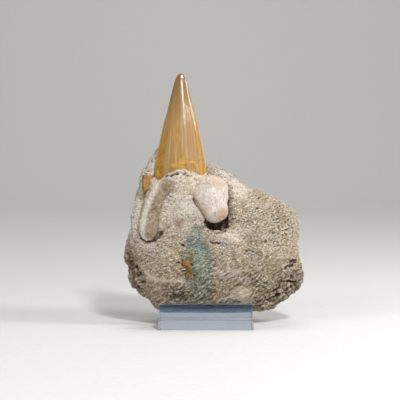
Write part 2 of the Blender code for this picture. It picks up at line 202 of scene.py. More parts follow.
def read_points(mesh, what="co"):
    """The mesh's points, or their normals, as rows of x, y and z."""
    if what == "co":
        flat = np.empty(len(mesh.vertices) * 3)
        mesh.vertices.foreach_get("co", flat)
    else:
        flat = np.empty(len(mesh.vertices) * 3, dtype=np.float32)
        mesh.vertex_normals.foreach_get("vector", flat)
    return flat.reshape(-1, 3).astype(float)


def write_points(mesh, points):
    mesh.vertices.foreach_set("co", points.ravel())
    mesh.update()


def write_amount(mesh, name, values):
    """Keeps a value from 0 to 1 for each point, for the materials to read."""
    layer = mesh.attributes.new(name, "FLOAT", "POINT")
    layer.data.foreach_set("value", np.clip(values, 0.0, 1.0).astype(np.float32))


def swells(points, size, shift=0.0):
    """Soft unevenness, from about -1 to 1, with swells of a size in millimetres."""
    return np.array([noise.noise(spot) * 1.6 for spot in points / size + shift])


def along_beds(points, along, across):
    """Places turned so that x runs up along the rock's beds, measured in a length along and across."""
    rise = math.radians(BED_RISE)
    up_beds = points[:, 0] * math.cos(rise) + points[:, 2] * math.sin(rise)
    off_beds = points[:, 2] * math.cos(rise) - points[:, 0] * math.sin(rise)
    return np.stack([up_beds / along, points[:, 1] / across, off_beds / across], axis=1)


def pebbles(points, size, shift=0.0):
    """Rounded grains of a size in millimetres: 1 at a grain's middle and 0 in the joints."""
    heights = []
    for spot in points / size + shift:
        near, _ = noise.voronoi(spot)
        heights.append(min(1.0, (near[1] - near[0]) * 2.4))
    return np.sqrt(np.array(heights))


def hollows(mesh, height, reach, depth):
    """How far each point lies below its neighbours' mean height: 0.5 is level, and 1 is a depth below.
    The reach is the number of rounds in which the neighbours' heights are spread."""
    pairs = np.empty(len(mesh.edges) * 2, dtype=np.int32)
    mesh.edges.foreach_get("vertices", pairs)
    first, second = pairs.reshape(-1, 2).T
    count = len(height)
    neighbours = np.bincount(pairs, minlength=count) + 1
    mean = height
    for _ in range(reach):
        total = np.bincount(first, mean[second], count) + np.bincount(second, mean[first], count)
        mean = (mean + total) / neighbours
    return 0.5 + 0.5 * (mean - height) / depth


def spot_at(places, middle, half_sizes):
    """1 at the middle of an oval spot on the front face, fading out past its half sizes."""
    off = (places - np.array(middle)) / np.array(half_sizes)
    return np.exp(-(off**2).sum(axis=1))


def between_edges(places, edges, softness):
    """1 between a left and a right edge, given as (z, left x, right x), fading out over a softness."""
    edge_z, left_x, right_x = np.array(edges).T
    left = np.interp(places[:, 1], edge_z, left_x)
    right = np.interp(places[:, 1], edge_z, right_x)
    inside = np.minimum(places[:, 0] - left, right - places[:, 0])
    inside = np.minimum(inside, np.minimum(places[:, 1] - edge_z[0], edge_z[-1] - places[:, 1]))
    return 1.0 / (1.0 + np.exp(-inside / softness))


def near_line(places, line, half_width):
    """1 on a line drawn across the front face, fading out over its half width."""
    nearest = np.full(len(places), 1e9)
    for start, end in zip(np.array(line)[:-1], np.array(line)[1:]):
        run = end - start
        share = np.clip((places - start) @ run / (run @ run), 0.0, 1.0)
        gap = np.linalg.norm(places - start - share[:, None] * run, axis=1)
        nearest = np.minimum(nearest, gap)
    return np.exp(-((nearest / half_width) ** 2))


block = even_mesh("matrix_block", solid_copy("matrix"), BLOCK_VOXEL, 4)
finer = bmesh.new()
finer.from_mesh(block.data)
finer.normal_update()
front_faces = [face for face in finer.faces if face.normal.y < BLOCK_FACE_SPLIT]
front_edges = list({edge for face in front_faces for edge in face.edges})
bmesh.ops.subdivide_edges(finer, edges=front_edges, cuts=BLOCK_FACE_CUTS, use_grid_fill=True)
for _ in range(3):
    bmesh.ops.smooth_vert(finer, verts=finer.verts, factor=0.5, use_axis_x=True, use_axis_y=True,
                          use_axis_z=True)
finer.to_mesh(block.data)
finer.free()

points = read_points(block.data)
normals = read_points(block.data, "normal")
spots = points / MM
places = spots[:, [0, 2]]
facing = np.clip(-normals[:, 1] * 1.6, 0.0, 1.0)

low_right = 1.0 / (1.0 + np.exp((places @ np.array([-0.67, 0.74]) + 10.5) / 2.2))
left_foot = spot_at(places, (-36.0, 24.0), (4.0, 10.0))
ragged = places + 0.5 * np.stack([swells(spots, 1.4, 6.0), swells(spots, 1.2, 26.0)], axis=1)
cracks = sum(near_line(ragged, line, 0.42) for line in FINE_CRACKS) * facing
corner_cracks = sum(near_line(ragged, line, 0.6) for line in CORNER_CRACKS) * facing
pebble_rim = near_line(places, PEBBLE_RIM, 0.5) * facing
pebble = spot_at(places, (16.0, 14.8), (4.4, 3.6)) * facing
pits = sum(spot_at(places, middle, (size, 0.8 * size)) for middle, size in PITS) * facing
left_rim = spot_at(places, (-28.0, 79.0), (5.0, 9.0))
rough_spots = np.clip(1.4 * left_foot + 1.0 * low_right + 0.8 * left_rim, 0.0, 1.0)
off_beds = along_beds(spots, 1.0, 1.0)[:, 2]
broken = 0.9 * swells(spots, 9.0, 5.0) + 0.30 * swells(spots, 3.4, 2.0) + 0.16 * swells(spots, 1.5, 8.0)
ledge = 1.0 - (off_beds / LEDGE_STEP + broken) % 1.0
thin_ledge = 1.0 - (off_beds / (0.37 * LEDGE_STEP) + 1.6 * broken) % 1.0
flat_spots = spots * np.array([1.0, 1.0, 1.6])

above_beds = np.exp((places[:, 1] - 0.25 * places[:, 0] - 27.0) / 4.0)
bedded = (1.0 - 0.8 * pebble) * (0.25 + 0.75 / (1.0 + above_beds))
roughness = np.clip(0.65 + 0.7 * swells(spots, 10.0, 31.0), 0.25, 1.2)
roughness *= 1.0 - 0.5 * spot_at(places, (-11.0, 58.0), (7.0, 7.0))
roughness *= 1.0 - 0.8 * pebble
height = 0.60 * swells(spots, 13.0, 2.0) + 0.45 * swells(spots, 6.0, 3.1) + 0.7 * pebble
height += bedded * 0.42 * swells(along_beds(spots, 3.4, 1.4), 1.0, 1.3)
height += bedded * 0.28 * swells(along_beds(spots, 1.8, 0.85), 1.0, 4.0)
height += 0.34 * swells(spots, 3.0, 11.0)
height += roughness * (0.24 * swells(flat_spots, 1.6, 14.0) + 0.30 * swells(flat_spots, 0.9, 9.0))
height -= roughness * 0.6 * np.clip(swells(flat_spots, 1.8, 17.0) - 0.42, 0.0, 0.6)
height += 0.12 * (pebbles(spots, 1.6) - 0.6)
height += rough_spots * 0.9 * (np.abs(swells(spots, 3.0, 1.7)) - 0.45)
height += low_right * LEDGE_HEIGHT * (ledge - 0.5) * np.clip(0.45 + 1.3 * swells(spots, 4.5, 12.0), 0.0, 1.2)
thin_share = np.clip(0.7 + swells(spots, 2.6, 22.0), 0.0, 1.2)
height += low_right * THIN_LEDGE_HEIGHT * (thin_ledge - 0.5) * thin_share
height -= CRACK_DEPTH * cracks + CORNER_CRACK_DEPTH * corner_cracks + PEBBLE_RIM_DEPTH * pebble_rim
height -= PIT_DEPTH * pits * np.clip(0.8 + 0.9 * swells(spots, 1.2, 19.0), 0.2, 1.3)
in_front = np.clip(facing * 4.0, 0.0, 1.0)
pocket = between_edges(ragged, POCKET, 0.25) * in_front
height -= POCKET_DEPTH * pocket
dip = hollows(block.data, height, 8, 0.30)
banked = np.zeros(len(points))
for line, half_width, tall in BANKS:
    banked = np.maximum(banked, tall * near_line(places, line, half_width))
height += banked * facing
in_seat = (np.abs(places[:, 0]) < SEAT_HALF_WIDTH) & (places[:, 1] < SEAT_HEIGHT)
height = np.where(in_seat, np.minimum(height * 0.3, 0.1), height)
# The dip amount drives painted shade in the small hollows and painted highlight on the high spots
write_amount(block.data, "dip", 0.5 + (dip - 0.5) * np.clip(0.2 + 1.6 * facing, 0.2, 1.0))
write_points(block.data, points + normals * (height * MM)[:, None])
block.data.shade_smooth()

wavering = places + 1.1 * np.stack([swells(spots, 3.0, 6.0), swells(spots, 3.0, 26.0)], axis=1)
green = between_edges(wavering, GREEN_PATCH, 0.7) * np.clip(0.35 + places[:, 1] / 60.0, 0.0, 1.0)
green += 0.5 * spot_at(places, (43.5, 21.5), (3.0, 3.6))
rust = (
    spot_at(places, (-12.6, 28.6), (1.4, 3.4)) + 0.8 * spot_at(places, (-11.5, 24.8), (1.4, 1.6))
    + 0.7 * spot_at(places, (4.8, 14.4), (1.6, 4.0)) + 0.5 * spot_at(places, (0.2, 41.0), (1.4, 3.4))
    + 0.7 * spot_at(places, (-12.6, 48.6), (2.6, 2.4)) + 0.35 * near_line(places, WARM_EDGE, 2.2)
    + 0.5 * spot_at(places, (41.4, 28.0), (1.6, 2.6))
)
olive = (
    1.2 * spot_at(places, (-6.0, 23.8), (1.7, 1.1)) + near_line(places, OLIVE_RIM, 1.0)
    + 0.7 * spot_at(places, (13.4, 33.2), (1.0, 2.0)) + 0.5 * spot_at(places, (38.6, 31.4), (3.2, 1.6))
    + 0.6 * spot_at(places, (14.8, 63.0), (0.8, 0.8))
)
# Brown stain at the left foot and in a dark patch, and painted shade: darker towards the bottom, at the
# lower right and the left foot, and in the cracks, pits and the pebble's rim
brown_and_shade = (
    1.4 * left_foot + 0.5 * spot_at(places, (-14.6, 16.6), (5.2, 3.6))
    + 1.1 * low_right * np.clip((34.0 - places[:, 1]) / 12.0, 0.4, 1.0)
    + 0.9 * corner_cracks + 0.9 * cracks + 1.0 * pits + 0.5 * pebble_rim
    + 0.7 * np.clip((40.0 - places[:, 1]) / 34.0, 0.0, 1.0)
)
# Pale crust on a pebble, a vein and patches, and painted light: the lit left edge and top-left rim, and the
# fork between the lobes lightened against the root's shade
pale_and_lit = (
    1.6 * spot_at(places, (16.2, 14.6), (4.6, 3.6)) + 0.6 * spot_at(places, (12.0, 70.0), (10.0, 7.0))
    + 1.4 * spot_at(places, (-10.0, 56.0), (9.0, 9.0))
    + 1.1 * near_line(places, LIT_LEFT_EDGE, 3.4) + 0.5 * left_rim
    + 1.0 * spot_at(places, (11.6, 42.4), (7.0, 2.6))
    + 0.8 * spot_at(places, (10.0, 24.6), (6.0, 2.6)) + 0.8 * spot_at(places, (16.0, 64.0), (4.0, 3.0))
    + 0.9 * near_line(ragged, PALE_VEIN, 1.1)
)
pale_and_lit = pale_and_lit * np.clip(0.25 + 1.5 * facing, 0.25, 1.0)
# Painted shade: the pocket, the cracks and pits, and lines beside the lobes are darkened where shade falls
hollow_shade = pocket * np.clip(0.55 + 1.5 * swells(spots, 0.9, 23.0), 0.12, 1.3)
crevice_shade = near_line(places, LOBE_SHADOW_LINE, 0.6) + near_line(places, LOBE_UNDERCUT_SHADOW, 0.5)
left_pits = spot_at(places, (-36.4, 30.0), (1.3, 2.4)) + spot_at(places, (-35.0, 23.0), (1.0, 4.4))
crevice_shade += 0.9 * corner_cracks + 0.8 * cracks + 0.5 * pits
crevice_shade += 1.2 * left_pits * np.clip(0.5 + 1.6 * swells(spots, 1.6, 41.0), 0.0, 1.0)
for name, stain in (
    ("green", green * facing), ("rust", rust * facing), ("olive", olive * facing),
    ("brown_and_shade", brown_and_shade), ("pale_and_lit", pale_and_lit), ("hollow_shade", (hollow_shade + crevice_shade) * in_front),
):
    write_amount(block.data, name, stain)

CEMENT = (182, 169, 149)
CHALK = (224, 214, 198)
COOL_CHALK = (214, 208, 200)
PALE_CRUST_AND_LIGHT = (222, 205, 189)
QUARTZ_GRAIN = (252, 248, 240)
TAN_GRAIN = (180, 152, 114)
GREY_GRAIN = (160, 150, 138)
DARK_GRAIN = (76, 64, 50)
JOINT_AND_SHADE_BROWN = (112, 94, 72)
WARM_SAND = (190, 166, 130)
BROWN_STAIN_AND_SHADE = (190, 181, 165)
GREEN_STAIN = (184, 219, 230)
RUST_STAIN = (186, 140, 96)
OLIVE_STAIN = (126, 104, 46)
HOLLOW_SHADE_BROWN = (84, 68, 46)


def ramp(tree, factor, stops, interpolation="LINEAR"):
    """A colour ramp over (position, colour) stops, with the colours as 0 to 255 values."""
    made = add_node(tree, "ValToRGB", {"Fac": factor})
    made.color_ramp.interpolation = interpolation
    while len(made.color_ramp.elements) < len(stops):
        made.color_ramp.elements.new(1.0)
    for element, (position, colour) in zip(made.color_ramp.elements, stops):
        element.position = position
        element.color = (*linear(*colour), 1.0)
    return made.outputs["Color"]


def mixed(tree, share, under, over, how="MIX"):
    """Lays one colour over another by a share from 0 to 1."""
    made = add_node(tree, "Mix", data_type="RGBA", blend_type=how)
    for socket, value in ((made.inputs[0], share), (made.inputs[6], under), (made.inputs[7], over)):
        if isinstance(value, bpy.types.NodeSocket):
            tree.links.new(value, socket)
        elif isinstance(value, (int, float)):
            socket.default_value = value
        else:
            socket.default_value = (*linear(*value), 1.0)
    return made.outputs[2]


def amount(tree, name):
    return add_node(tree, "Attribute", attribute_name=name).outputs["Fac"]


def scaled(tree, value, low, high, out_low=0.0, out_high=1.0):
    """A value moved from one range to another and held inside it."""
    limits = {"From Min": low, "From Max": high, "To Min": out_low, "To Max": out_high}
    return add_node(tree, "MapRange", {"Value": value, **limits}).outputs["Result"]


def raised(tree, height, depth, under=None):
    """A bump of a depth in millimetres, over another bump's normal."""
    inputs = {"Height": height, "Strength": 1.0, "Distance": depth * MM}
    if under is not None:
        inputs["Normal"] = under
    return add_node(tree, "Bump", inputs).outputs["Normal"]


def times(tree, first, second):
    return add_node(tree, "Math", {0: first, 1: second}, operation="MULTIPLY").outputs["Value"]


def grains(tree, at, scale, under, kinds):
    """Scatters grains over a colour. A kind is (from, to, colour): the share of the grains it takes."""
    cells = add_node(tree, "TexVoronoi", {"Vector": at, "Scale": scale})
    kind = add_node(tree, "SeparateColor", {"Color": cells.outputs["Color"]}).outputs["Red"]
    body = scaled(tree, cells.outputs["Distance"], 0.42, 0.30)
    for low, high, colour in kinds:
        middle, half = (low + high) / 2.0, (high - low) / 2.0
        chosen = add_node(tree, "Math", {0: kind, 1: middle, 2: half}, operation="COMPARE")
        under = mixed(tree, times(tree, body, chosen.outputs["Value"]), under, colour)
    return under, kind


def sand(tree):
    """Bare sandy matrix: its colour, its bump and a patchiness, from 0.3 to 1.7."""
    even = stretched_place(tree, (1.0, 1.0, 1.0))
    beds = stretched_place(tree, (1.15, 0.7, 0.55), CRUMB_RISE)
    fine_beds = stretched_place(tree, (0.6, 0.4, 0.3), CRUMB_RISE)
    flakes = stretched_place(tree, (1.1, 0.8, 0.65), CRUMB_RISE)
    tone = add_node(tree, "TexNoise", {"Vector": even, "Scale": 0.11, "Detail": 4.0}).outputs["Fac"]
    cool = add_node(tree, "TexNoise", {"Vector": even, "Scale": 0.17, "Detail": 5.0}).outputs["Fac"]
    clumps = add_node(tree, "TexNoise", {"Vector": even, "Scale": 0.4, "Detail": 5.0}).outputs["Fac"]
    crumb = add_node(tree, "TexNoise", {"Vector": beds, "Scale": 1.0, "Detail": 5.0, "Roughness": 0.7})
    dust = add_node(tree, "TexNoise", {"Vector": fine_beds, "Scale": 1.0, "Detail": 3.0}).outputs["Fac"]
    colour = ramp(tree, crumb.outputs["Fac"], (
        (0.36, JOINT_AND_SHADE_BROWN), (0.45, TAN_GRAIN), (0.51, CEMENT), (0.60, CHALK),
    ))
    colour = mixed(tree, scaled(tree, cool, 0.52, 0.66, 0.0, 0.45), colour, COOL_CHALK)
    colour = mixed(tree, scaled(tree, tone, 0.45, 0.65, 0.0, 0.5), colour, WARM_SAND)
    colour = mixed(tree, scaled(tree, clumps, 0.50, 0.66, 0.0, 0.7), colour, GREY_GRAIN)
    colour, fine_kind = grains(tree, flakes, 1.7, colour, (
        (0.0, 0.23, DARK_GRAIN), (0.23, 0.33, TAN_GRAIN), (0.70, 1.0, QUARTZ_GRAIN),
    ))
    colour, _ = grains(tree, beds, 0.9, colour, (
        (0.0, 0.07, DARK_GRAIN), (0.07, 0.14, TAN_GRAIN), (0.14, 0.24, GREY_GRAIN),
        (0.86, 1.0, QUARTZ_GRAIN),
    ))
    bump = raised(tree, dust, 0.50)
    bump = raised(tree, crumb.outputs["Fac"], 0.68, bump)
    patch = add_node(tree, "Math", {0: times(tree, clumps, dust), 1: fine_kind}, operation="ADD")
    return colour, bump, scaled(tree, patch.outputs["Value"], 0.2, 1.25, 0.3, 1.7)


def hollow_shade_ridge_light(tree, colour, dark, light):
    """Paints shade into the mesh's small hollows by darkening a colour, and paints highlight on its high
    spots by lightening it.
    """
    dip = amount(tree, "dip")
    colour = mixed(tree, scaled(tree, dip, 0.55, 1.0, 0.0, dark), colour, JOINT_AND_SHADE_BROWN)
    return mixed(tree, scaled(tree, dip, 0.45, 0.0, 0.0, light), colour, CHALK)


def stained(tree, under, stain, name, patch, strength, how="MIX"):
    """Lays a stain over a colour where one of the mesh's amounts is high, broken up by a patchiness."""
    share = add_node(tree, "Math", {0: amount(tree, name), 1: patch}, operation="MULTIPLY")
    return mixed(tree, scaled(tree, share.outputs["Value"], 0.12, 0.8, 0.0, strength), under, stain, how)


sandstone, tree, shader = new_finish("sandy_matrix")
colour, bump, patch = sand(tree)
# The pale amount also paints light on lit places, and the brown amount also paints shade towards the bottom
# and in cracks and pits
for name, stain, strength, how in (
    ("pale_and_lit", PALE_CRUST_AND_LIGHT, 0.84, "SCREEN"), ("brown_and_shade", BROWN_STAIN_AND_SHADE, 1.0, "MULTIPLY"),
    ("rust", RUST_STAIN, 0.66, "MIX"), ("green", GREEN_STAIN, 1.0, "MULTIPLY"),
    ("olive", OLIVE_STAIN, 0.8, "MIX"),
):
    colour = stained(tree, colour, stain, name, patch, strength, how)
# Painted shade in the small hollows and painted highlight on the high spots
colour = hollow_shade_ridge_light(tree, colour, 0.85, 0.6)
# Painted shade in the pocket, the cracks and pits, and beside the lobes
colour = stained(tree, colour, HOLLOW_SHADE_BROWN, "hollow_shade", patch, 0.88)
tree.links.new(colour, shader.inputs["Base Color"])
tree.links.new(bump, shader.inputs["Normal"])
shader.inputs["Roughness"].default_value = 0.93
shader.inputs["Specular IOR Level"].default_value = 0.3
block.data.materials.append(sandstone)
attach(block, "root")
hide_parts("matrix")

# Root of the tooth
# Porous fossil bone, chalky white where it is clean, with sand still stuck to its left lobe. The
# root swells forward below the crown, and its two lobes lie bedded in the block.

ROOT_VOXEL = 0.36
ROOT_TOP = 75.6
ROOT_SWELL = 0.38
SAND_FILL_HEIGHT = 1.1
UNDER_CUSP_DEPTH = 1.7
UNDER_ENAMEL_DEPTH = 1.1
GAP_DEPTH = 0.9
CROWN_X = -12.1
CROWN_FOOT_HALF = 12.3

# The crown's lower edge, as (share of its half width, z)
ENAMEL_EDGE = (
    (-1.0, 71.3), (-0.9, 69.9), (-0.78, 70.1), (-0.66, 71.1), (-0.6, 71.8), (-0.47, 73.0),
    (-0.32, 73.4), (-0.09, 74.5), (0.14, 74.7), (0.3, 74.1), (0.45, 73.7), (0.6, 72.7),
    (0.72, 71.8), (0.88, 71.8), (1.0, 73.2),
)

# Lines on the root, as (x, z): the gap under the enamel, painted dark with shade, the lobes' flanks, with
# the left lobe's white flank painted lighter where it is lit and the right lobe's flank painted with shade,
# and the sand that fills the fork between the lobes
GAP_LEFT = ((-19.4, 71.2), (-17.6, 71.9), (-16.4, 71.8), (-15.2, 72.4), (-13.2, 72.7))
GAP_RIGHT = ((-10.8, 72.6), (-9.2, 72.2), (-7.4, 71.9))
LIT_CLEAN_FLANK = (
    (-23.4, 67.0), (-26.4, 61.0), (-28.4, 55.7), (-29.6, 48.6), (-30.0, 43.6), (-28.6, 41.4),
    (-26.0, 41.0),
)
SAND_FILL = ((-18.0, 63.6), (-13.0, 62.6), (-9.0, 62.4), (-7.4, 62.6))
RIGHT_LOBE_FLANK = ((-7.2, 62.4), (-4.6, 59.4), (-2.6, 54.8), (0.0, 50.8))

below_crown = solid_copy("shark_tooth")
everything = list(below_crown.verts) + list(below_crown.edges) + list(below_crown.faces)
cut = bmesh.ops.bisect_plane(below_crown, geom=everything, plane_co=(0.0, 0.0, ROOT_TOP * MM),
                             plane_no=(0.0, 0.0, 1.0), clear_outer=True)
rim = [part for part in cut["geom_cut"] if isinstance(part, bmesh.types.BMEdge)]
bmesh.ops.edgeloop_fill(below_crown, edges=rim)
root = even_mesh("tooth_root", below_crown, ROOT_VOXEL, 8)

points = read_points(root.data)
normals = read_points(root.data, "normal")
spots = points / MM
places = spots[:, [0, 2]]
left_lobe = spot_at(places, (-25.5, 50.0), (6.0, 14.0))
# The left lobe's left flank: clean white bone, painted lighter as the side that takes the light
lit_flank = near_line(places, LIT_CLEAN_FLANK, 1.7)
sandy_side = 1.0 / (1.0 + np.exp((places[:, 0] + 7.0) / 1.6))
clean_and_lit = 1.1 * spot_at(places, (3.0, 61.5), (8.4, 8.0)) + 1.0 * lit_flank + 0.3 * swells(spots, 3.0, 6.0)
crust = (
    1.0 * sandy_side * (1.0 - 0.9 * lit_flank) + 0.9 * spot_at(places, (-11.0, 73.2), (9.0, 1.7))
    + 0.5 * spot_at(places, (-4.6, 70.4), (4.0, 2.0)) + 0.3 * swells(spots, 2.2, 5.0)
)
worn = (
    spot_at(places, (7.4, 54.4), (2.0, 2.6)) + 0.5 * spot_at(places, (-0.5, 55.0), (2.2, 4.0))
    + 0.5 * spot_at(places, (-4.6, 58.5), (2.0, 3.6)) + 0.4 * spot_at(places, (5.6, 68.6), (3.4, 2.0))
)
off_ridge = places[:, 0] + 25.4 - 0.16 * (places[:, 1] - 50.0)
shade = (
    (1.0 - lit_flank) * left_lobe / (1.0 + np.exp(-off_ridge / 0.8))
    + 1.3 * left_lobe * (1.0 - lit_flank) + 1.1 * spot_at(places, (-17.8, 66.4), (3.0, 3.4))
    + 0.6 * near_line(places, RIGHT_LOBE_FLANK, 1.5)
)
# Painted shade: the gap under the enamel is painted near black
gaps = near_line(places, GAP_LEFT, 0.42) * np.clip(1.0 + 1.0 * swells(spots, 1.3, 15.0), 0.4, 1.3)
broken_gap = np.clip(0.5 + 1.6 * swells(spots, 0.9, 25.0), 0.0, 1.0)
gaps += 0.7 * near_line(places, GAP_RIGHT, 0.75) * broken_gap
under_cusp = spot_at(places, (-27.8, 68.4), (3.4, 4.6)) ** 0.6
edge_across, edge_z = np.array(ENAMEL_EDGE).T
edge_here = np.interp((places[:, 0] - CROWN_X) / CROWN_FOOT_HALF, edge_across, edge_z)
under_enamel = np.clip((places[:, 1] - edge_here) / 0.8, 0.0, 1.0)
height = ROOT_SWELL + 0.30 * swells(spots, 4.0, 1.0) + 0.14 * swells(spots, 1.6, 2.0)
crumbly = np.clip(crust, 0.0, 1.0)
height += crumbly * (0.14 * (pebbles(spots, 1.7, 3.0) - 0.5) + 0.14 * swells(spots, 1.3, 8.0))
crumbs_lost = 0.5 * np.clip(swells(spots, 1.6, 17.0) - 0.5, 0.0, 0.6)
height += crumbly * (0.17 * swells(spots, 0.8, 9.0) - crumbs_lost)
height += (1.0 - crumbly) * 0.07 * swells(spots * np.array([1.0, 1.0, 0.3]), 0.8, 4.0)
# The dip amount drives painted shade in the root's small hollows and painted highlight on its high spots
write_amount(root.data, "dip", hollows(root.data, height, 6, 0.30))
height += SAND_FILL_HEIGHT * near_line(places, SAND_FILL, 1.3)
height -= UNDER_CUSP_DEPTH * under_cusp + UNDER_ENAMEL_DEPTH * under_enamel + GAP_DEPTH * gaps
write_points(root.data, points + normals * (height * MM)[:, None])
root.data.shade_smooth()
for name, share in (("clean_and_lit", clean_and_lit), ("crust", crust), ("worn", worn), ("shade", shade), ("gap", gaps)):
    write_amount(root.data, name, share)

CLEAN_AND_LIT_BONE = (224, 217, 210)
BONE_PINK = (214, 190, 170)
BONE_TAN = (184, 164, 136)
BONE_WORN = (188, 156, 120)
BONE_BROWN = (108, 93, 74)
SHADE_STAIN = (180, 171, 158)
CRUST_CREAM = (204, 188, 176)
GAP_SHADE_BLACK = (34, 28, 22)

bone, tree, shader = new_finish("root_bone")
sand_colour, _, patch = sand(tree)
# The sand on the root gets painted shade in its hollows and painted highlight on its high spots
sand_colour = hollow_shade_ridge_light(tree, mixed(tree, 0.42, sand_colour, CRUST_CREAM, "SCREEN"), 0.85, 0.6)
even = stretched_place(tree, (1.0, 1.0, 1.0))
fibres = stretched_place(tree, (0.5, 0.5, 1.4))
mottle = add_node(tree, "TexNoise", {"Vector": even, "Scale": 0.4, "Detail": 5.0}).outputs["Fac"]
fibre = add_node(tree, "TexNoise", {"Vector": fibres, "Scale": 1.0, "Detail": 4.0}).outputs["Fac"]
pores = add_node(tree, "TexVoronoi", {"Vector": even, "Scale": 1.5}).outputs["Distance"]
colour = ramp(tree, mottle, ((0.35, BONE_TAN), (0.5, BONE_PINK), (0.62, BONE_TAN)))
# Clean bone, with painted light on the left lobe's left flank
colour = stained(tree, colour, CLEAN_AND_LIT_BONE, "clean_and_lit", patch, 1.0)
colour = mixed(tree, scaled(tree, fibre, 0.5, 0.66, 0.0, 0.75), colour, BONE_TAN)
colour = mixed(tree, scaled(tree, pores, 0.0, 0.26, 0.8, 0.0), colour, BONE_BROWN)
# The gap amount paints the shade under the enamel near black, and the shade amount paints the lobes' shaded
# sides darker
for name, stain, strength, how in (
    ("worn", BONE_WORN, 0.8, "MIX"), ("crust", sand_colour, 0.95, "MIX"),
    ("shade", SHADE_STAIN, 1.0, "MULTIPLY"), ("gap", GAP_SHADE_BLACK, 0.95, "MIX"),
):
    colour = stained(tree, colour, stain, name, patch, strength, how)
bump = raised(tree, fibre, 0.45)
bump = raised(tree, scaled(tree, pores, 0.0, 0.2), 0.15, bump)
tree.links.new(colour, shader.inputs["Base Color"])
tree.links.new(bump, shader.inputs["Normal"])
shader.inputs["Roughness"].default_value = 0.8
shader.inputs["Specular IOR Level"].default_value = 0.35
root.data.materials.append(bone)
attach(root, "root")
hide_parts("shark_tooth")

# Crown of the tooth
# A cap of hard, glassy enamel over the root, in honey, amber and grey streaks. It is domed in front,
# with a facet down each side to a sharp edge, and its lower edge stands a little proud of the root.

CROWN_TIP_Z = 120.6
CROWN_PLANE_Y = -2.8
CROWN_PLANE_Z = 72.0
CROWN_LEAN = 0.12
CROWN_STATIONS = (
    (0.0, 0.25), (0.5, 1.15), (2.2, 2.25), (5.2, 3.25), (9.0, 4.2), (13.0, 5.15), (18.5, 6.55),
    (24.5, 8.3), (29.5, 9.35), (35.5, 10.6), (43.8, 12.1), (49.0, 12.4), (51.6, 12.2),
)
FRONT_BULGE = 0.47
BACK_BULGE = 0.27
LEFT_RIDGE = -0.655
RIGHT_RIDGE = 0.80
ENAMEL_PROUD = 0.16
ENAMEL_FLARE = 5.0
CROWN_ROWS = 190
CROWN_COLUMNS = 128
CROWN_FOOT_Z = 69.0
STREAK_RELIEF = 0.035
SHARP_EDGE = 50.0

# Brighter and greyer enamel near the crown's foot, as (x, z)
YELLOW_SPOTS = (((-14.9, 76.8), (1.8, 1.0)), ((-11.2, 77.8), (1.5, 2.6)), ((-22.8, 72.8), (1.0, 2.0)))
YELLOW_LINE = ((-7.6, 78.6), (-5.4, 78.2), (-4.0, 76.4), (-3.2, 73.8))
ASH_LINE = ((-18.9, 78.4), (-18.9, 71.4))


def crown_half_width(distance):
    """Half width of the crown at a distance below its tip."""
    reach, half = np.array(CROWN_STATIONS).T
    root_reach = np.sqrt(reach)
    fine = np.linspace(0.0, root_reach[-1], 400)
    rough = np.interp(fine, root_reach, half)
    kernel = np.hanning(41)
    padded = np.pad(rough, 20, mode="reflect", reflect_type="odd")
    soft = np.convolve(padded, kernel / kernel.sum(), mode="valid")
    return np.interp(np.sqrt(distance), fine, soft)


def dome(across):
    """Height of the crown's front over its width: a soft arch with a faint ridge down each side."""
    arch = (1.0 - across**2) ** 0.64
    left = 0.045 * np.exp(-(((across - LEFT_RIDGE) / 0.06) ** 2))
    right = 0.03 * np.exp(-(((across - RIGHT_RIDGE) / 0.07) ** 2))
    return arch + left + right


def ringed_piece(name, rings):
    """A new closed object over rings of points in millimetres, given from the lowest ring up."""
    shell = bmesh.new()
    corners = [[shell.verts.new([side * MM for side in spot]) for spot in ring] for ring in rings]
    for lower, upper in zip(corners, corners[1:]):
        for column in range(len(lower)):
            after = (column + 1) % len(lower)
            shell.faces.new((lower[column], lower[after], upper[after], upper[column]))
    shell.faces.new(corners[-1])
    shell.faces.new(corners[0])
    bmesh.ops.recalc_face_normals(shell, faces=shell.faces)
    piece = bpy.data.objects.new(name, bpy.data.meshes.new(name))
    shell.to_mesh(piece.data)
    shell.free()
    bpy.context.scene.collection.objects.link(piece)
    piece.data.shade_smooth()
    piece.data.set_sharp_from_angle(angle=math.radians(SHARP_EDGE))
    return piece


graph = bpy.context.evaluated_depsgraph_get()
root_surface = BVHTree.FromObject(root, graph)
turns = 2.0 * np.pi * np.arange(CROWN_COLUMNS) / CROWN_COLUMNS
across = np.cos(turns)
in_front = np.sin(turns) < 0.0
ragged = np.array([0.22 * noise.noise((a * 9.0, 0.0, 3.0)) for a in across])
lower_edge = np.interp(across, edge_across, edge_z) + ragged
rows = []
row_across = []
row_height = []
for row in range(CROWN_ROWS):
    share = (row / (CROWN_ROWS - 1)) ** 0.9
    z = lower_edge + (CROWN_TIP_Z - lower_edge) * (1.0 - (1.0 - share) ** 1.35)
    z = np.minimum(z, CROWN_TIP_Z - 0.002)
    half = crown_half_width(CROWN_TIP_Z - z)
    nicks = 0.35 * np.exp(-(((z - 97.9) / 0.5) ** 2)) + 0.2 * np.exp(-(((z - 84.3) / 0.4) ** 2))
    half = half - nicks * (across > 0.9)
    x = CROWN_X + half * across
    plane = CROWN_PLANE_Y + CROWN_LEAN * (z - CROWN_PLANE_Z)
    front = plane - FRONT_BULGE * half * dome(across)
    back = plane + BACK_BULGE * half * (1.0 - across**2) ** 0.675
    y = np.where(in_front, front, back)
    rows.append(np.stack([x, y, z], axis=1))
    row_across.append(across)
    row_height.append(np.full(CROWN_COLUMNS, share))
grid = np.array(rows)
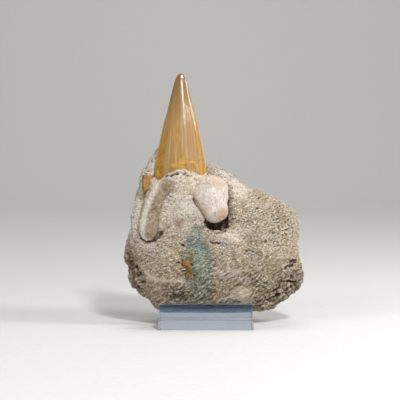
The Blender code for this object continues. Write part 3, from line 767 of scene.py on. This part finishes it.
for row in range(CROWN_ROWS):
    if grid[row, :, 2].min() > ROOT_TOP:
        break
    for column in np.nonzero(in_front)[0]:
        x, y, z = grid[row, column] * MM
        hit = root_surface.ray_cast(Vector((x, -0.1, z)), Vector((0.0, 1.0, 0.0)))[0]
        if hit is not None:
            share = min(1.0, (ROOT_TOP - z / MM) / ENAMEL_FLARE)
            over = min(0.0, hit.y / MM - ENAMEL_PROUD - y / MM)
            grid[row, column, 1] += over * share**0.5
tucked = grid[0] + np.array([0.0, 0.9, 0.1])
tucked[:, 0] = CROWN_X + (tucked[:, 0] - CROWN_X) * 0.96
grid = np.concatenate([tucked[None], grid])
row_across = np.array([row_across[0], *row_across])
row_height = np.array([row_height[0], *row_height])

crown = ringed_piece("enamel_crown", grid)
crown_mesh = crown.data
write_amount(crown_mesh, "across", row_across.ravel() * 0.5 + 0.5)
write_amount(crown_mesh, "up", (grid[:, :, 2].ravel() - CROWN_FOOT_Z) / (CROWN_TIP_Z - CROWN_FOOT_Z))
points = read_points(crown_mesh)
normals = read_points(crown_mesh, "normal")
streaky = np.stack([row_across.ravel() * 13.0, row_height.ravel() * 2.0, np.zeros(points.shape[0])], 1)
ripple = np.array([noise.noise(spot) for spot in streaky])
ripple += 0.5 * np.array([noise.noise(spot) for spot in streaky * 2.7])
write_points(crown_mesh, points + normals * (STREAK_RELIEF * ripple * MM)[:, None])

side = row_across.ravel()
below_tip = CROWN_TIP_Z - points[:, 2] / MM
grain_run = np.array([noise.noise(spot) for spot in streaky * np.array([1.6, 2.0, 1.0]) + 4.0])
gold = 1.0 / (1.0 + np.exp((side - LEFT_RIDGE + 0.02) / 0.03))
gold *= np.clip((below_tip - 20.0) / 22.0, 0.12, 1.0)
right_strip = 1.0 / (1.0 + np.exp(-(side - 0.78 + 0.1 * grain_run) / 0.04))
gold += 0.95 * right_strip * np.clip((below_tip - 20.0) / 6.0, 0.0, 1.0)
gold += np.clip((below_tip - 40.0) / 4.0, 0.0, 1.0) * np.clip(0.35 + 1.6 * grain_run, 0.0, 1.0)
on_crown = np.stack([side, below_tip], 1)
ash = spot_at(on_crown, (-0.57, 43.0), (0.07, 12.0))
ash += 0.8 * spot_at(on_crown, (0.20, 28.0), (0.05, 9.0))
ash += 0.6 * spot_at(on_crown, (-0.30, 22.0), (0.04, 9.0))
ash += 0.6 * spot_at(on_crown, (0.50, 36.0), (0.06, 12.0))
ember = spot_at(on_crown, (0.03, 34.0), (0.035, 9.0))
ember += 0.6 * spot_at(on_crown, (0.88, 30.0), (0.06, 6.0))
places = points[:, [0, 2]] / MM
yellow = 1.2 * sum(spot_at(places, middle, half_sizes) for middle, half_sizes in YELLOW_SPOTS)
yellow += near_line(places, YELLOW_LINE, 0.7)
yellow *= np.clip(0.9 + 1.2 * grain_run, 0.0, 1.0)
ash += (
    0.8 * spot_at(places, (-12.6, 75.4), (2.8, 0.9)) + spot_at(places, (-5.6, 75.2), (1.1, 1.8))
    + near_line(places, ASH_LINE, 0.9)
)
specks = np.array([noise.noise(spot) for spot in points / (0.9 * MM)])
# Paler thin enamel along the cutting edges, painted brighter as a lit rim
lit_thin_edge = np.exp(-(((1.0 - np.abs(side)) / 0.022) ** 2)) * np.clip((below_tip - 10.0) / 12.0, 0.0, 1.0)
pitted = spot_at(places, (-7.4, 101.8), (3.0, 4.6))
dark = np.clip((specks - 0.42) * 8.0, 0.0, 1.0) * np.clip((84.0 - places[:, 1]) / 10.0, 0.0, 1.0)
for name, share in (("gold", gold), ("ash", ash), ("ember", ember), ("yellow", yellow),
                    ("pitted", pitted), ("speck", dark), ("lit_thin_edge", lit_thin_edge)):
    write_amount(crown_mesh, name, share)

ENAMEL_IOR = 1.6
ENAMEL_HONEY = (162, 125, 74)
ENAMEL_ROSE = (168, 126, 82)
ENAMEL_WHEAT = (184, 152, 98)
ENAMEL_GOLD = (148, 104, 36)
ENAMEL_YELLOW = (182, 134, 44)
ENAMEL_EMBER = (160, 98, 36)
ENAMEL_ASH = (158, 138, 108)
ENAMEL_TIP = (122, 92, 50)
ENAMEL_BRIGHT = (206, 158, 50)
EDGE_HIGHLIGHT_YELLOW = (232, 200, 120)
SPECK_BROWN = (84, 54, 26)

enamel, tree, shader = new_finish("glassy_enamel")
across_value = amount(tree, "across")
up_value = amount(tree, "up")
streaks_at = add_node(tree, "CombineXYZ", {"X": across_value, "Y": up_value}).outputs["Vector"]
wide = add_node(tree, "Mapping", {"Vector": streaks_at, "Scale": (13.0, 1.7, 1.0)}).outputs["Vector"]
thin = add_node(tree, "Mapping", {"Vector": streaks_at, "Scale": (60.0, 3.4, 1.0)}).outputs["Vector"]
wide_streak = add_node(tree, "TexNoise", {"Vector": wide, "Scale": 1.0, "Detail": 4.0}).outputs["Fac"]
thin_streak = add_node(tree, "TexNoise", {"Vector": thin, "Scale": 1.0, "Detail": 4.0}).outputs["Fac"]
even = stretched_place(tree, (1.0, 1.0, 1.0))
cloud = add_node(tree, "TexNoise", {"Vector": even, "Scale": 0.25, "Detail": 4.0}).outputs["Fac"]
fleck = add_node(tree, "TexNoise", {"Vector": even, "Scale": 1.7, "Detail": 4.0}).outputs["Fac"]
colour = ramp(tree, wide_streak, (
    (0.30, ENAMEL_ASH), (0.40, ENAMEL_ROSE), (0.50, ENAMEL_HONEY), (0.58, ENAMEL_WHEAT),
    (0.70, ENAMEL_YELLOW),
))
colour = mixed(tree, scaled(tree, cloud, 0.45, 0.65, 0.0, 0.5), colour, ENAMEL_ROSE)
colour = mixed(tree, scaled(tree, amount(tree, "ash"), 0.0, 1.0, 0.0, 0.75), colour, ENAMEL_ASH)
colour = mixed(tree, scaled(tree, amount(tree, "gold"), 0.0, 1.0, 0.0, 0.9), colour,
               mixed(tree, scaled(tree, cloud, 0.4, 0.6), ENAMEL_GOLD, ENAMEL_YELLOW))
colour = mixed(tree, scaled(tree, amount(tree, "ember"), 0.0, 1.0, 0.0, 0.7), colour, ENAMEL_EMBER)
colour = mixed(tree, scaled(tree, thin_streak, 0.52, 0.72, 0.0, 0.75), colour, ENAMEL_GOLD)
colour = mixed(tree, scaled(tree, thin_streak, 0.48, 0.30, 0.0, 0.65), colour, ENAMEL_WHEAT)
colour = mixed(tree, scaled(tree, fleck, 0.62, 0.75, 0.0, 0.5), colour, ENAMEL_EMBER)
colour = mixed(tree, scaled(tree, up_value, 0.55, 0.9, 0.0, 0.7), colour, ENAMEL_TIP)
colour = mixed(tree, scaled(tree, amount(tree, "yellow"), 0.1, 1.0, 0.0, 0.85), colour, ENAMEL_BRIGHT)
# Painted highlight along the cutting edges
colour = mixed(tree, scaled(tree, amount(tree, "lit_thin_edge"), 0.0, 1.0, 0.0, 0.8), colour, EDGE_HIGHLIGHT_YELLOW)
colour = mixed(tree, scaled(tree, amount(tree, "speck"), 0.0, 1.0, 0.0, 0.8), colour, SPECK_BROWN)
tree.links.new(colour, shader.inputs["Base Color"])
shader.inputs["IOR"].default_value = ENAMEL_IOR
shader.inputs["Specular IOR Level"].default_value = 0.3
shader.inputs["Coat IOR"].default_value = ENAMEL_IOR
shader.inputs["Coat Roughness"].default_value = 0.10
tree.links.new(scaled(tree, up_value, 0.42, 0.64), shader.inputs["Coat Weight"])
worn_gloss = add_node(tree, "Math", {0: scaled(tree, up_value, 0.8, 0.35, 0.22, 0.45),
                                     1: scaled(tree, fleck, 0.4, 0.7, 0.0, 0.08)}, operation="ADD")
tree.links.new(worn_gloss.outputs["Value"], shader.inputs["Roughness"])
bump = raised(tree, times(tree, fleck, scaled(tree, amount(tree, "pitted"), 0.0, 0.8, 0.03, 1.0)), 0.22)
faded = times(tree, thin_streak, scaled(tree, up_value, 0.72, 0.30, 0.02, 1.0))
bump = raised(tree, faded, 0.06, bump)
tree.links.new(bump, shader.inputs["Normal"])
tree.links.new(bump, shader.inputs["Coat Normal"])
crown_mesh.materials.append(enamel)
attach(crown, "root")
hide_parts("shark_tooth")

# Side cusp
# The broken stub of the small cusp beside the crown: amber enamel, worn through at its foot, where
# it joins the root's left shoulder.

CUSP_STATIONS = (
    ((-27.9, 72.0), 2.5, 0.9), ((-27.9, 70.8), 2.6, 1.5), ((-28.0, 68.0), 2.5, 1.7),
    ((-28.6, 65.4), 1.8, 1.4), ((-29.2, 63.4), 0.9, 0.9), ((-29.4, 62.6), 0.4, 0.5),
)
CUSP_FORWARD = 0.7
CUSP_COLUMNS = 40
CUSP_ROWS = 40

stations = np.array([(z, x, half, deep) for (x, z), half, deep in CUSP_STATIONS])[::-1]
turns = 2.0 * np.pi * np.arange(CUSP_COLUMNS) / CUSP_COLUMNS
rings = []
for z in np.linspace(stations[0, 0], stations[-1, 0], CUSP_ROWS):
    middle, half, deep = (np.interp(z, stations[:, 0], stations[:, column]) for column in (1, 2, 3))
    plane = CROWN_PLANE_Y + CROWN_LEAN * (z - CROWN_PLANE_Z) - CUSP_FORWARD
    ring = []
    for turn in turns:
        chip = 1.0 + 0.10 * noise.noise((3.0 * math.cos(turn), 3.0 * math.sin(turn), z / 1.8))
        x = middle + half * chip * math.copysign(abs(math.cos(turn)) ** 0.8, math.cos(turn))
        y = plane + deep * chip * math.copysign(abs(math.sin(turn)) ** 0.8, math.sin(turn))
        ring.append((x, y, z))
    rings.append(ring)
cusp = ringed_piece("side_cusp", rings)
cusp_mesh = cusp.data
spots = read_points(cusp_mesh) / MM
write_amount(cusp_mesh, "foot", (66.0 - spots[:, 2]) / 3.0 + 0.4 * swells(spots, 1.2))
middle_x, half_x = (np.interp(spots[:, 2], stations[:, 0], stations[:, k]) for k in (1, 2))
left_rim = -2.2 * (spots[:, 0] - middle_x) / half_x - 1.1
write_amount(cusp_mesh, "rim", left_rim + 0.4 * swells(spots, 1.0))

CUSP_AMBER = (144, 96, 20)
CUSP_PEACH = (180, 136, 74)
CUSP_FOOT_BROWN = (98, 68, 28)

cusp_enamel, tree, shader = new_finish("cusp_enamel")
even = stretched_place(tree, (1.0, 1.0, 1.0))
cloud = add_node(tree, "TexNoise", {"Vector": even, "Scale": 0.5, "Detail": 4.0}).outputs["Fac"]
wear = add_node(tree, "TexNoise", {"Vector": even, "Scale": 2.4, "Detail": 3.0}).outputs["Fac"]
colour = ramp(tree, cloud, ((0.38, CUSP_AMBER), (0.6, CUSP_PEACH)))
colour = mixed(tree, scaled(tree, wear, 0.55, 0.75, 0.0, 0.5), colour, BONE_PINK)
colour = mixed(tree, scaled(tree, amount(tree, "rim"), 0.0, 1.0, 0.0, 0.6), colour, CUSP_FOOT_BROWN)
colour = mixed(tree, scaled(tree, amount(tree, "foot"), 0.0, 1.0, 0.0, 0.9), colour, CUSP_FOOT_BROWN)
tree.links.new(colour, shader.inputs["Base Color"])
tree.links.new(scaled(tree, wear, 0.3, 0.7, 0.3, 0.6), shader.inputs["Roughness"])
tree.links.new(raised(tree, wear, 0.12), shader.inputs["Normal"])
cusp_mesh.materials.append(cusp_enamel)
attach(cusp, "root")
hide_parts("shark_tooth")

# Enamel chip
# A worn sliver of another tooth, S-shaped, in dark amber enamel. It lies flush in the rock.

CHIP_VOXEL = 0.2
CHIP_SWELL = 0.28

chip = even_mesh("amber_chip", solid_copy("enamel_chip"), CHIP_VOXEL, 3)
points = read_points(chip.data)
normals = read_points(chip.data, "normal")
spots = points / MM
height = CHIP_SWELL + 0.22 * swells(spots, 1.6, 2.0) + 0.10 * swells(spots, 0.7, 5.0)
write_points(chip.data, points + normals * (height * MM)[:, None])
chip.data.shade_smooth()

CHIP_AMBER = (128, 88, 16)
CHIP_GOLD = (150, 114, 44)
CHIP_DARK = (90, 54, 8)
CHIP_PALE = (172, 146, 88)

chip_enamel, tree, shader = new_finish("chip_enamel")
even = stretched_place(tree, (1.0, 1.0, 1.0))
cloud = add_node(tree, "TexNoise", {"Vector": even, "Scale": 0.55, "Detail": 4.0}).outputs["Fac"]
wear = add_node(tree, "TexNoise", {"Vector": even, "Scale": 2.8, "Detail": 3.0}).outputs["Fac"]
colour = ramp(tree, cloud, ((0.40, CHIP_DARK), (0.50, CHIP_AMBER), (0.64, CHIP_GOLD)))
colour = mixed(tree, scaled(tree, wear, 0.55, 0.75, 0.0, 0.6), colour, CHIP_PALE)
tree.links.new(colour, shader.inputs["Base Color"])
tree.links.new(scaled(tree, wear, 0.3, 0.7, 0.25, 0.55), shader.inputs["Roughness"])
tree.links.new(raised(tree, wear, 0.15), shader.inputs["Normal"])
chip.data.materials.append(chip_enamel)
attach(chip, "root")
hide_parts("enamel_chip")

# Table and background
# A pale matt sheet that lies flat under the stand and curves up behind it, so that no edge shows.

TABLE_HALF = 1.4
TABLE_BACK = 0.75
SWEEP_RADIUS = 0.45
SWEEP_TOP = 1.6
TABLE_COLOUR = (226, 225, 222)
TABLE_FLECK = (200, 198, 194)
SWEEP_STEPS = 12
TABLE_GAP = 0.0002

sheet = bmesh.new()
profile = [(-TABLE_HALF, 0.0), (0.0, 0.0), (TABLE_BACK, 0.0)]
for step in range(1, SWEEP_STEPS + 1):
    turn = math.radians(90.0 * step / SWEEP_STEPS)
    profile.append((TABLE_BACK + SWEEP_RADIUS * math.sin(turn), SWEEP_RADIUS * (1.0 - math.cos(turn))))
profile.append((TABLE_BACK + SWEEP_RADIUS, SWEEP_TOP))
left = [sheet.verts.new((-TABLE_HALF, y, z - TABLE_GAP)) for y, z in profile]
right = [sheet.verts.new((TABLE_HALF, y, z - TABLE_GAP)) for y, z in profile]
for number in range(len(profile) - 1):
    sheet.faces.new((left[number], right[number], right[number + 1], left[number + 1]))
table_mesh = bpy.data.meshes.new("table_sheet")
sheet.to_mesh(table_mesh)
sheet.free()
table = bpy.data.objects.new("table_sheet", table_mesh)
bpy.context.scene.collection.objects.link(table)
table_mesh.shade_smooth()

paper, tree, shader = new_finish("matt_paper")
fleck = add_node(tree, "TexNoise", {"Scale": 900.0, "Detail": 2.0}).outputs["Fac"]
shade = mixed(tree, scaled(tree, fleck, 0.3, 0.7, 0.0, 0.15), TABLE_COLOUR, TABLE_FLECK)
tree.links.new(shade, shader.inputs["Base Color"])
shader.inputs["Roughness"].default_value = 0.9
table_mesh.materials.append(paper)

# Light
# The main lamp stands above the camera, to its right. The tip lamp and the edge lamp draw the bright
# streaks on the enamel, the left lamp fills the shadows without a reflection of its own, and the sweep
# lamp lights the sheet behind the object.

# Each lamp's name, place, width and height in metres, and its power in watts
LAMPS = (
    ("main_lamp", (0.20, -0.42, 0.58), (0.09, 0.09), 2.72),
    ("tip_lamp", (0.10, -0.43, 0.36), (0.05, 0.09), 0.30),
    ("edge_lamp", (0.42, -0.08, 0.29), (0.11, 0.16), 1.3),
    ("left_lamp", (-0.50, -0.34, 0.40), (0.20, 0.30), 1.25),
    ("sweep_lamp", (0.0, 0.35, 1.30), (0.80, 0.30), 6.0),
)
LAMP_AIM = (0.0, 0.0, 0.06)
SWEEP_AIM = (0.0, 1.10, 0.35)
ROOM_GREY = (205, 207, 210)
ROOM_STRENGTH = 0.22

for name, place, (wide_side, tall_side), power in LAMPS:
    lamp = bpy.data.lights.new(name, "AREA")
    lamp.shape = "RECTANGLE"
    lamp.size = wide_side
    lamp.size_y = tall_side
    lamp.energy = power
    holder = bpy.data.objects.new(name, lamp)
    bpy.context.scene.collection.objects.link(holder)
    holder.location = place
    holder.visible_glossy = name != "left_lamp"
    aim = SWEEP_AIM if name == "sweep_lamp" else LAMP_AIM
    holder.rotation_euler = (Vector(aim) - Vector(place)).to_track_quat("-Z", "Y").to_euler()
room = bpy.data.worlds.new("room")
room.use_nodes = True
room.node_tree.nodes["Background"].inputs["Color"].default_value = (*linear(*ROOM_GREY), 1.0)
room.node_tree.nodes["Background"].inputs["Strength"].default_value = ROOM_STRENGTH
bpy.context.scene.world = room
bpy.context.scene.view_settings.view_transform = "Standard"

# Camera
# It stands half a metre in front of the stand, a little above its middle, and looks down by 4 degrees.

CAMERA_PLACE = (-2.81, -534.31, 97.12)
CAMERA_DOWN = 4.0
CAMERA_LENS = 100.0
CAMERA_SENSOR = 36.0

lens = bpy.data.cameras.new("camera")
lens.lens = CAMERA_LENS
lens.sensor_width = CAMERA_SENSOR
camera = bpy.data.objects.new("camera", lens)
bpy.context.scene.collection.objects.link(camera)
camera.location = [side * MM for side in CAMERA_PLACE]
camera.rotation_euler = (math.radians(90.0 - CAMERA_DOWN), 0.0, 0.0)
bpy.context.scene.camera = camera
